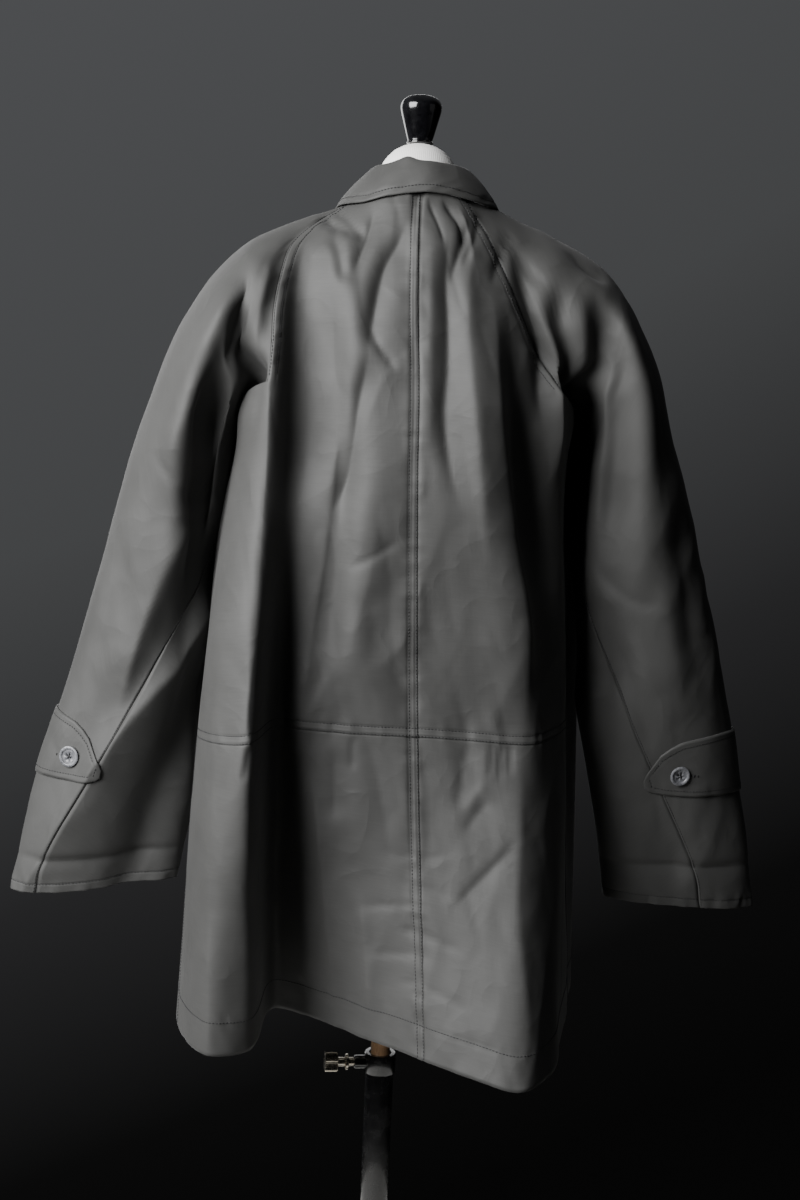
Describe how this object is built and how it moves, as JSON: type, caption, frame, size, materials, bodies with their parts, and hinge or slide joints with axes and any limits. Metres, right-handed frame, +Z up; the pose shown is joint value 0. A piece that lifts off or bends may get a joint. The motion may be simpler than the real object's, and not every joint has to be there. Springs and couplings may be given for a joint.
{
  "type": "raincoat on dress form",
  "caption": "Charcoal raglan raincoat with fold-over collar, cuff tabs and flared hem, worn by a limbless dress form on a round-based stand with a clamped height post.",
  "frame": {"origin": "centre of the base's underside, on the floor", "axes": "+Z up along the post, -Y towards the coat's back, +X towards the wearer's right"},
  "size_m": [0.8485, 0.4409, 1.569],
  "materials": {
    "coat_cloth": "crisp proofed cotton-poly, faint satin sheen",
    "button": "satin horn-look resin",
    "form_cover": "plain white jersey",
    "black_lacquer": "black gloss lacquer",
    "post_wood": "clear satin varnish",
    "black_enamel": "black gloss enamel",
    "nickel": "nickel plate"
  },
  "bodies": {
    "stand": {"base": "black_enamel", "tube": "black_enamel", "clamp": "black_enamel"},
    "post": {"post": "post_wood"},
    "thumbscrew": {"thumbscrew": "nickel"},
    "dressed_form": {"torso": "form_cover", "neck_cap": "black_lacquer", "finial": "black_lacquer", "back_lower_left": "coat_cloth", "back_lower_right": "coat_cloth", "back_upper_left": "coat_cloth", "back_upper_right": "coat_cloth", "front_left": "coat_cloth", "front_right": "coat_cloth", "top_sleeve_left": "coat_cloth", "top_sleeve_right": "coat_cloth", "under_sleeve_left": "coat_cloth", "under_sleeve_right": "coat_cloth", "tab_left": "coat_cloth", "tab_right": "coat_cloth", "collar": "coat_cloth", "tab_button_left": "button", "tab_button_right": "button", "front_button_1": "button", "front_button_2": "button", "front_button_3": "button", "front_button_4": "button", "front_button_5": "button"}
  },
  "joints": [
    {"name": "height_slide", "type": "slide", "parent": "stand", "child": "post", "axis": [0, 0, 1], "range_m": [-0.15, 0.2]},
    {"name": "form_turn", "type": "hinge", "parent": "post", "child": "dressed_form", "pos_m": [0, 0, 0.7], "axis": [0, 0, 1], "continuous": true},
    {"name": "clamp_turn", "type": "hinge", "parent": "stand", "child": "thumbscrew", "pos_m": [-0.04, 0, 0.4855], "axis": [1, 0, 0], "continuous": true}
  ]
}
